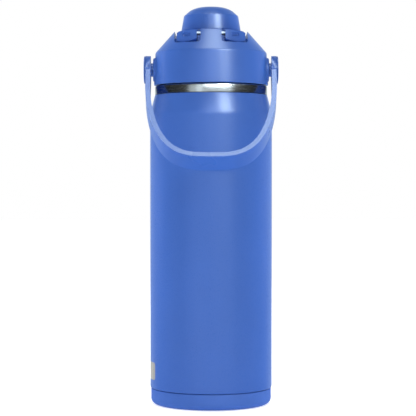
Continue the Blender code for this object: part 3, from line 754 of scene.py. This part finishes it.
def make_lid_core(material):
    """Inner moulding of the lid: screw plug, flange and the cone inside it."""
    root = 0.0332
    plug_bore = 0.0314
    neck = 0.0174
    hole = 0.0154
    flange_top_z, flange_foot_z = 0.2374, 0.2355
    corners = [(hole, 0.2584), (neck, 0.2584, 0.0004), (neck, 0.2560), (0.0325, 0.2385)]
    corners += [(0.0325, flange_top_z), (liner_high.x, flange_top_z, 0.0003)]
    corners += [(liner_high.x, flange_foot_z, 0.0003), (0.0342, flange_foot_z)]
    corners += [(0.0342, 0.2337, 0.0004), (root, 0.2327), (root, liner_low.z, 0.0007)]
    corners += [(plug_bore, liner_low.z, 0.0007), (plug_bore, 0.2370, 0.0010)]
    corners += [(0.0162, 0.2544), (hole, 0.2544)]
    core = turned("lid_core", filleted(corners), material, 128)
    merged(core, thread_ridge("lid_thread", root, 0.0343, material))
    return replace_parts(core, "lid_liner")


def lug(name, low_r, high_r, low_z, high_z, centre_degrees, material):
    """A short arc-shaped bayonet lug."""
    steps = 14
    half_span = 22.3
    angles = []
    for i in range(steps + 1):
        angles.append(math.radians(centre_degrees - half_span + 2 * half_span * i / steps))
    outline = [(high_r * math.cos(a), high_r * math.sin(a)) for a in angles]
    outline += [(low_r * math.cos(a), low_r * math.sin(a)) for a in reversed(angles)]
    piece = outline_solid(name, outline, high_z - low_z, material)
    bevel(piece, 0.0002, 2)
    baked(piece)
    piece.location.z = low_z
    return piece


def lug_pair(name, low_r, high_r, low_z, high_z, material):
    """Two lugs on opposite sides."""
    return [lug(f"{name}_{i}", low_r, high_r, low_z, high_z, 180.0 * i, material) for i in range(2)]


def make_spout(material):
    """Wide spout with a rolled lip, its flange, its ring groove and its two lugs."""
    root = 0.0151
    bore = 0.0115
    lip = 0.0132
    groove = 0.0134
    top_z = spout_high.z
    flange_top_z, flange_foot_z = 0.2601, 0.2587
    groove_top_z, groove_foot_z = 0.2576, 0.2556
    corners = [(bore, top_z, 0.0007), (lip, top_z, 0.0009), (0.0145, 0.2704, 0.002)]
    corners += [(0.0150, 0.2640), (root, flange_top_z), (spout_high.x, flange_top_z, 0.0003)]
    corners += [(spout_high.x, flange_foot_z), (root, flange_foot_z), (root, groove_top_z)]
    corners += [(groove, groove_top_z), (groove, groove_foot_z), (root, groove_foot_z)]
    corners += [(root, 0.2542, 0.0003), (root - 0.0007, spout_low.z, 0.0003)]
    corners += [(0.0128, spout_low.z, 0.0003), (0.0120, 0.2560, 0.004), (bore, 0.2640, 0.004)]
    spout = turned("spout_tube", filleted(corners), material, 96)
    lugs = lug_pair("spout_lug", 0.0138, 0.0152, 0.2684, 0.2698, material)
    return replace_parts(merged(spout, *lugs), "drink_spout")


def make_hinge_rod(material):
    """Steel pin of the cap's hinge with rounded ends."""
    radius = (pin_high.z - pin_low.z) / 2
    pin = rod("hinge_rod", radius, pin_low.x, pin_high.x, material, 40, 0.0004)
    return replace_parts(along_x(pin, 1, HINGE.y, HINGE.z), "hinge_pin")


def make_pivots(steel, plastic):
    """Shoulder pins and bushes of the carry handle, on both sides."""
    shank = 0.0016
    head = 0.0050
    bush_bore = 0.0019
    bush_radius = 0.0034
    flange = 0.0049
    face_x = PAD_FACE_X + 0.0003
    made = []
    for side, name in ((-1, "left"), (1, "right")):
        corners = [(0.0, 0.0473), (head, 0.0473, 0.0005), (head, 0.0462, 0.0003)]
        corners += [(shank, 0.0462), (shank, 0.0352, 0.0003), (0.0, 0.0352)]
        outline = filleted(corners, closed=False)
        pin = turned("shoulder_pin_" + name, outline, steel, 48, closed=False)
        made.append(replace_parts(along_x(pin, side, PIVOT.y, PIVOT.z), "pivot_pin_" + name))
        corners = [(bush_bore, 0.0459), (bush_radius, 0.0459, 0.0003), (bush_radius, 0.0433)]
        corners += [(flange, 0.0433, 0.0003), (flange, face_x), (bush_bore, face_x)]
        bush = turned("handle_bush_" + name, filleted(corners), plastic, 64)
        made.append(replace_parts(along_x(bush, side, PIVOT.y, PIVOT.z), "pivot_bush_" + name))
    return made


# ---------------------------------------------------------------- hinged cap


def arm_outline():
    """Side view of a hinge arm as (y, z): a round hub on the pin and a bar to the ring."""
    back_y = -0.0120
    start = math.degrees(math.asin((RING_FOOT_Z - HINGE.z) / ARM_HUB_RADIUS))
    end = -180.0 - math.degrees(math.asin((ARM_TOP_Z - HINGE.z) / ARM_HUB_RADIUS))
    points = [(back_y, RING_FOOT_Z), *arc(HINGE.y, HINGE.z, ARM_HUB_RADIUS, start, end, 32)]
    points.append((back_y, ARM_TOP_Z))
    return points


def yoke_arm(side, face):
    """One hinge arm, with its front on the round face and its top sloping outwards."""
    arm = outline_solid(f"yoke_arm_{side}", arm_outline(), ARM_OUTER_X - ARM_INNER_X)
    arm.rotation_euler = (math.pi / 2, 0.0, math.pi / 2)
    arm.location.x = ARM_INNER_X if side > 0 else -ARM_OUTER_X
    keep_inside(arm, face)
    slope = side_box(f"arm_slope_{side}", side, -0.0100, 0.0200, (-0.0400, 0.0), (-0.0100, 0.0100))
    slope.rotation_euler.y = side * ARM_SLOPE
    slope.location = (side * 0.0150, 0.0, ARM_TOP_Z + 0.0003)
    cut(arm, slope)
    return arm


def add_thumb_tab(yoke):
    """Tab behind the cap with three grooves across it for grip."""
    tab = box("thumb_tab", (-0.0065, 0.0215, RING_FOOT_Z), (0.0065, yoke_high.y, 0.2672))
    bevel(tab, 0.0009, 4)
    join(yoke, tab)
    for i in range(3):
        groove = rod(f"thumb_groove_{i}", 0.0007, -0.0045, 0.0045, None, 24, 0.0006)
        cut(yoke, along_x(groove, 1, 0.0262 + 0.0017 * i, 0.2675))


def cut_dimples(yoke):
    """Cuts a short level groove into the front of each arm."""
    reach = ARM_FACE_RADIUS + 0.0002
    for side in (-1, 1):
        x = side * reach * math.sin(DIMPLE_ANGLE)
        y = -reach * math.cos(DIMPLE_ANGLE)
        dimple = rod(f"arm_dimple_{side}", 0.0014, -0.0030, 0.0030, None, 32, 0.0011)
        dimple.rotation_euler = (0.0, math.pi / 2, side * DIMPLE_ANGLE)
        dimple.location = (x, y, 0.2643)
        cut(yoke, dimple)


def make_yoke(material):
    """Ring round the cap with two dimpled hinge arms and a ribbed thumb tab."""
    corners = [(RING_BORE, RING_TOP_Z, 0.0004), (ARM_OUTER_X, RING_TOP_Z, 0.0007)]
    corners += [(ARM_OUTER_X, RING_FOOT_Z, 0.0003), (RING_BORE, RING_FOOT_Z)]
    yoke = turned("cap_yoke", filleted(corners), material)
    face = rod("arm_face", ARM_FACE_RADIUS, CUT_FOOT_Z, CUT_TOP_Z, None, ROUND_STEPS)
    for side in (-1, 1):
        join(yoke, yoke_arm(side, face))
    add_thumb_tab(yoke)
    passage = rod("cap_passage", RING_BORE + 0.00005, CUT_FOOT_Z, CUT_TOP_Z, None, ROUND_STEPS)
    cut(yoke, passage)
    room = box("knuckle_room", (-0.0092, CUT_FRONT_Y, CUT_FOOT_Z), (0.0092, -0.0216, CUT_TOP_Z))
    cut(yoke, room)
    bore = rod("yoke_bore", PIN_BORE_RADIUS, pin_low.x - 0.0003, pin_high.x + 0.0003, None, 24)
    cut(yoke, along_x(bore, 1, HINGE.y, HINGE.z))
    bevel(yoke, 0.0006, 3)
    cut_dimples(yoke)
    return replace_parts(even_normals(baked(yoke)), "hinge_yoke")


def dome_corners(inset):
    """Half profile of the dome from its edge down to its foot, moved in by the inset."""
    return [
        (0.0196 - inset, 0.2799 - inset * 0.5, 0.0012),
        (0.0215 - inset, dome_low.z, 0.0004 if inset == 0 else 0.0),
    ]


def crown(inset, steps):
    """The crown from its middle out to the chamfer."""
    radius = 0.0186
    end = 33.0
    edge = 0.0157
    top_z = dome_high.z - inset
    centre_z = top_z - radius
    centre_r = edge - radius * math.sin(math.radians(end))
    rim = [(r - inset * 0.4, z) for r, z in arc(centre_r, centre_z, radius, 88, 90 - end, steps)]
    return [(0.0, top_z), *rim]


def make_dome(material):
    """Outer shell of the drinking cap: tapered side, chamfer and low crown."""
    wall = 0.0014
    edge, foot = dome_corners(0.0)
    top = crown(0.0, 14)
    shoulder = filleted([top[-1], edge, foot, (foot[0] - wall, foot[1])], closed=False, steps=5)
    inner_edge, inner_foot = dome_corners(wall)
    inside = [inner_foot[:2], inner_edge[:2], *reversed(crown(wall, 8))]
    profile = top[:-1] + shoulder[:-1] + inside
    dome = turned("dome_shell", profile, material, ROUND_STEPS, closed=False)
    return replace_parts(dome, "cap_dome")


def make_cup(material):
    """Inner cup of the cap with its keeper flange and its two lugs."""
    flange = 0.0195
    bore = 0.0166
    step_z = 0.2643
    corners = [(0.0, 0.2800), (0.0165, 0.2800, 0.0005), (0.0177, 0.2786, 0.0005)]
    corners += [(0.0179, 0.2712), (flange, 0.2706, 0.0002), (flange, 0.2692, 0.0002)]
    corners += [(0.0189, 0.2686), (0.0189, step_z), (cup_high.x, step_z, 0.0004)]
    corners += [(cup_high.x, cup_low.z, 0.0006), (bore, cup_low.z, 0.0006)]
    corners += [(bore, 0.2786, 0.0004), (0.0, 0.2786)]
    cup = turned("cap_cup", filleted(corners, closed=False), material, 96, closed=False)
    lugs = lug_pair("cap_lug", 0.01575, 0.0170, 0.2656, 0.2670, material)
    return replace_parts(merged(cup, *lugs), "cap_liner")


def make_seal(material):
    """Seal that the spout's lip presses into, with a raised bead."""
    radius = 0.0163
    top_z = 0.2783
    foot_z = 0.2768
    corners = [(0.0, top_z), (radius, top_z, 0.0004), (radius, foot_z, 0.0004)]
    corners += [(0.0152, 0.2762, 0.0004), (0.0142, foot_z, 0.0003)]
    corners += [(0.0138, 0.2773), (0.0, 0.2773)]
    seal = turned("lip_seal", filleted(corners, closed=False), material, 96, closed=False)
    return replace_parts(seal, "cap_seal")


def make_gasket(material):
    """Flat ring between the lid and the mouth's rim."""
    inner, outer = 0.0345, 0.0381
    foot_z, top_z = 0.2338, 0.2352
    edge = 0.0003
    corners = [(inner, top_z, edge), (outer, top_z, edge)]
    corners += [(outer, foot_z, edge), (inner, foot_z, edge)]
    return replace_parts(turned("mouth_seal", filleted(corners), material, 128), "mouth_gasket")


def make_ring_seal(material):
    """Thin round ring in the spout's groove."""
    profile = list(reversed(arc(0.0144, 0.2566, 0.00065, -90, 246, 14)))
    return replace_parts(turned("spout_ring_seal", profile, material, 96), "spout_o_ring")


# ---------------------------------------------------------------- carry handle


def handle_outline():
    """Outline of the bail as (x, reach): inner curve, and the same curve moved outwards."""
    steps = 64
    depth = HANDLE_REACH - HANDLE_START
    inner = [(HANDLE_HALF_SPAN, 0.0)]
    for step in range(steps + 1):
        angle = math.pi / 2 * step / steps
        x = HANDLE_HALF_SPAN * max(0.0, math.cos(angle)) ** (2 / HANDLE_SIDE_POWER)
        reach = HANDLE_START + depth * math.sin(angle) ** (2 / HANDLE_END_POWER)
        inner.append((x, reach))
    inner[-1] = (0.0, HANDLE_REACH)
    inner += [(-x, reach) for x, reach in reversed(inner[:-1])]
    outer = []
    for i, (x, reach) in enumerate(inner):
        before = inner[max(i - 1, 0)]
        after = inner[min(i + 1, len(inner) - 1)]
        along = (after[0] - before[0], after[1] - before[1])
        length = math.hypot(*along)
        step_x = HANDLE_THICKNESS * along[1] / length
        step_reach = HANDLE_THICKNESS * along[0] / length
        outer.append((x + step_x, reach - step_reach))
    return inner + list(reversed(outer))


def hang(obj):
    """Places a handle piece, made with the handle straight down, at its hanging angle."""
    turn = bpy.data.objects.new(obj.name + "_axis", None)
    bpy.context.scene.collection.objects.link(turn)
    turn.location = PIVOT
    turn.rotation_euler.x = -HANG_ANGLE
    bpy.context.view_layer.update()
    obj.data.transform(turn.matrix_world @ obj.matrix_basis)
    obj.matrix_basis.identity()
    bpy.data.objects.remove(turn)
    return obj


def make_handle(material):
    """Moulded bail with softly rounded edges and an eye with a seat at each end."""
    outline = [(x, -reach) for x, reach in handle_outline()]
    handle = outline_solid("handle_bail", outline, HANDLE_WIDTH, material)
    for vertex in handle.data.vertices:
        vertex.co.z -= HANDLE_WIDTH / 2
    handle.rotation_euler.x = math.pi / 2
    for side in (-1, 1):
        eye = [(0.0, EYE_OUTER_X), (EYE_RADIUS, EYE_OUTER_X)]
        eye += [(EYE_RADIUS, EYE_INNER_X), (0.0, EYE_INNER_X)]
        join(handle, along_x(turned(f"eye_{side}", eye, None, 72, closed=False), side, 0.0, 0.0))
        bore = rod(f"eye_bore_{side}", EYE_BORE_RADIUS, 0.0400, 0.0500)
        cut(handle, along_x(bore, side, 0.0, 0.0))
        seat = rod(f"eye_seat_{side}", EYE_SEAT_RADIUS, EYE_SEAT_X, 0.0500)
        cut(handle, along_x(seat, side, 0.0, 0.0))
    bevel(handle, 0.0009, 4, 50.0)
    handle = even_normals(hang(baked(handle)))
    handle.visible_diffuse = False
    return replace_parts(handle, "carry_handle")


def make_covers(material):
    """Domed covers over the outer faces of the handle's eyes."""
    covers = []
    face = max(abs(cover_low.x), abs(cover_high.x))
    back = face - 0.0010
    radius = cover_high.y
    corners = [(0.0, face), (radius - 0.0016, face - 0.0002, 0.004)]
    corners += [(radius, face - 0.0005, 0.0003), (radius, back), (0.0, back)]
    outline = filleted(corners, closed=False, steps=6)
    for side, name in ((-1, "left"), (1, "right")):
        cover = turned("eye_cover_" + name, outline, material, 72, closed=False)
        covers.append(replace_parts(hang(along_x(cover, side, 0.0, 0.0)), "pivot_cover_" + name))
    return covers


# ---------------------------------------------------------------- studio


def add_camera():
    """Level with the bottle's upper half and about 1.1 m away."""
    camera = bpy.data.objects.new("camera", bpy.data.cameras.new("camera"))
    camera.data.sensor_width = 36.0
    camera.data.lens = CAMERA_LENS
    camera.data.clip_start = 0.05
    camera.data.clip_end = 20.0
    camera.location = CAMERA_PLACE
    camera.rotation_euler = (CAMERA_AIM - CAMERA_PLACE).to_track_quat("-Z", "Y").to_euler()
    bpy.context.scene.collection.objects.link(camera)
    bpy.context.scene.camera = camera


def add_light(name, azimuth, elevation, distance, width, height, brightness, matt):
    """A soft box that lights either the matt part or the gloss of surfaces."""
    light = bpy.data.lights.new(name, "AREA")
    light.shape = "RECTANGLE"
    light.size = width
    light.size_y = height
    light.energy = brightness * math.pi * width * height
    light.color = (1.0, 1.0, 1.0) if matt else GLOSS_TINT
    obj = bpy.data.objects.new(name, light)
    obj.visible_camera = False
    obj.visible_diffuse = matt
    obj.visible_glossy = not matt
    a, e = math.radians(azimuth), math.radians(elevation)
    way = Vector((math.sin(a) * math.cos(e), -math.cos(a) * math.cos(e), math.sin(e)))
    obj.location = LIGHT_CENTRE + way * distance
    obj.rotation_euler = way.to_track_quat("Z", "Y").to_euler()
    bpy.context.scene.collection.objects.link(obj)


def add_background(nodes, colour, strength=1.0):
    background = nodes.new("ShaderNodeBackground")
    background.inputs["Color"].default_value = (*colour, 1.0)
    background.inputs["Strength"].default_value = strength
    return background


def sheen_colour(nodes, links):
    """Colour of the room that gloss sees, from the viewer's side to the back."""
    place = nodes.new("ShaderNodeTexCoord")
    split = nodes.new("ShaderNodeSeparateXYZ")
    links.new(place.outputs["Generated"], split.inputs["Vector"])
    along = nodes.new("ShaderNodeMapRange")
    along.inputs["From Min"].default_value = -1.0
    links.new(split.outputs["Y"], along.inputs["Value"])
    level = nodes.new("ShaderNodeValToRGB")
    stops = level.color_ramp.elements
    for position, grey in SHEEN_STOPS:
        stops.new(position).color = (*shade(SHEEN_TINT, grey), 1.0)
    stops[0].color = (*SHEEN_FRONT, 1.0)
    stops[-1].color = (*SHEEN_BACK, 1.0)
    links.new(along.outputs["Result"], level.inputs["Fac"])
    return level.outputs["Color"]


def add_world():
    """White room: even for matt light, dark at the sides and bright behind for sheen."""
    white = (1.0, 1.0, 1.0)
    world = bpy.data.worlds.new("studio")
    world.use_nodes = True
    bpy.context.scene.world = world
    nodes = world.node_tree.nodes
    links = world.node_tree.links
    nodes.remove(nodes["Background"])
    sheen = add_background(nodes, white)
    links.new(sheen_colour(nodes, links), sheen.inputs["Color"])
    path = nodes.new("ShaderNodeLightPath")
    shown = add_background(nodes, white, WORLD_LEVEL)
    seen = add_background(nodes, white)
    for ray, background in (("Is Glossy Ray", sheen), ("Is Camera Ray", seen)):
        mix = nodes.new("ShaderNodeMixShader")
        links.new(path.outputs[ray], mix.inputs["Fac"])
        links.new(shown.outputs[0], mix.inputs[1])
        links.new(background.outputs[0], mix.inputs[2])
        shown = mix
    links.new(shown.outputs["Shader"], nodes["World Output"].inputs["Surface"])


def add_floor():
    """Pale floor with a faint glow, so that it stays white far from the lights."""
    material = Material("floor_paint", 0.7, specular=0.2)
    cloud = material.noise(6.0, 2.0)
    material.set("Base Color", material.ramp(cloud, (0.93, 0.93, 0.93), (0.95, 0.95, 0.95)))
    material.shader.inputs["Emission Color"].default_value = (1.0, 1.0, 1.0, 1.0)
    material.shader.inputs["Emission Strength"].default_value = FLOOR_GLOW
    half = FLOOR_HALF_WIDTH
    thickness = 0.02
    outline = [(-half, -half), (half, -half), (half, half), (-half, half)]
    floor = outline_solid("floor", outline, thickness, material.data)
    floor.location.z = cad_low.z - thickness - 0.0001
    floor.visible_glossy = False


def add_studio():
    bpy.context.scene.view_settings.view_transform = "Standard"
    add_camera()
    add_world()
    for light in GLOSS_LIGHTS:
        add_light(*light, matt=False)
    for light in MATT_LIGHTS:
        add_light(*light, matt=True)
    add_floor()


# ---------------------------------------------------------------- assembly


def main():
    add_studio()

    coat = powder_coat()
    rubber = boot_rubber()
    plastic = moulded_plastic("lid_plastic", BLUE, 0.30)
    inner = moulded_plastic("inner_plastic", (0.74, 0.75, 0.76), 0.42)
    band_steel = turned_steel("mouth_steel", (0.51, 0.50, 0.49), 0.20, 6000.0)
    flask_steel = turned_steel("flask_steel", (0.58, 0.57, 0.55), 0.34, 1500.0)
    pin_steel = turned_steel("pin_steel", (0.30, 0.32, 0.37), 0.46)
    soft = silicone("clear_silicone", (0.60, 0.62, 0.64))
    nickel = rough_metal("nickel_plate", (0.55, 0.54, 0.52), 0.25, 500.0)
    braze = rough_metal("braze_bead", (0.50, 0.46, 0.38), 0.45, 900.0)
    getter = rough_metal("sintered_getter", (0.16, 0.16, 0.17), 0.75, 1500.0)

    pieces = [
        (make_body(coat), "bottle", "powder_coat"),
        (make_mouth_band(band_steel), "bottle", "steel"),
        (make_flask(flask_steel), "bottle", "steel"),
        (make_boot(rubber), "bottle", "boot_rubber"),
        (make_collar(plastic), "lid", "lid_plastic"),
        (make_lid_core(inner), "lid", "inner_plastic"),
        (make_spout(inner), "lid", "inner_plastic"),
        (make_gasket(soft), "lid", "silicone"),
        (make_ring_seal(soft), "lid", "silicone"),
        (make_hinge_rod(pin_steel), "lid", "steel"),
        (make_yoke(plastic), "yoke", "lid_plastic"),
        (make_dome(plastic), "cap", "lid_plastic"),
        (make_cup(inner), "cap", "inner_plastic"),
        (make_seal(soft), "cap", "silicone"),
        (make_handle(plastic), "handle", "lid_plastic"),
    ]
    for piece in make_pivots(pin_steel, plastic):
        pieces.append((piece, "lid", "steel" if "pin" in piece.name else "lid_plastic"))
    for piece in make_covers(plastic):
        pieces.append((piece, "handle", "lid_plastic"))
    for piece, body, name in pieces:
        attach(piece, body)

    kept = {"outer_base": flask_steel, "vacuum_port_plug": braze, "getter_pad": getter}
    kept.update({"collar_magnet": nickel, "cap_magnet": nickel})
    for node, material in kept.items():
        for slot in frame["nodes"][node].material_slots:
            slot.material = material


main()
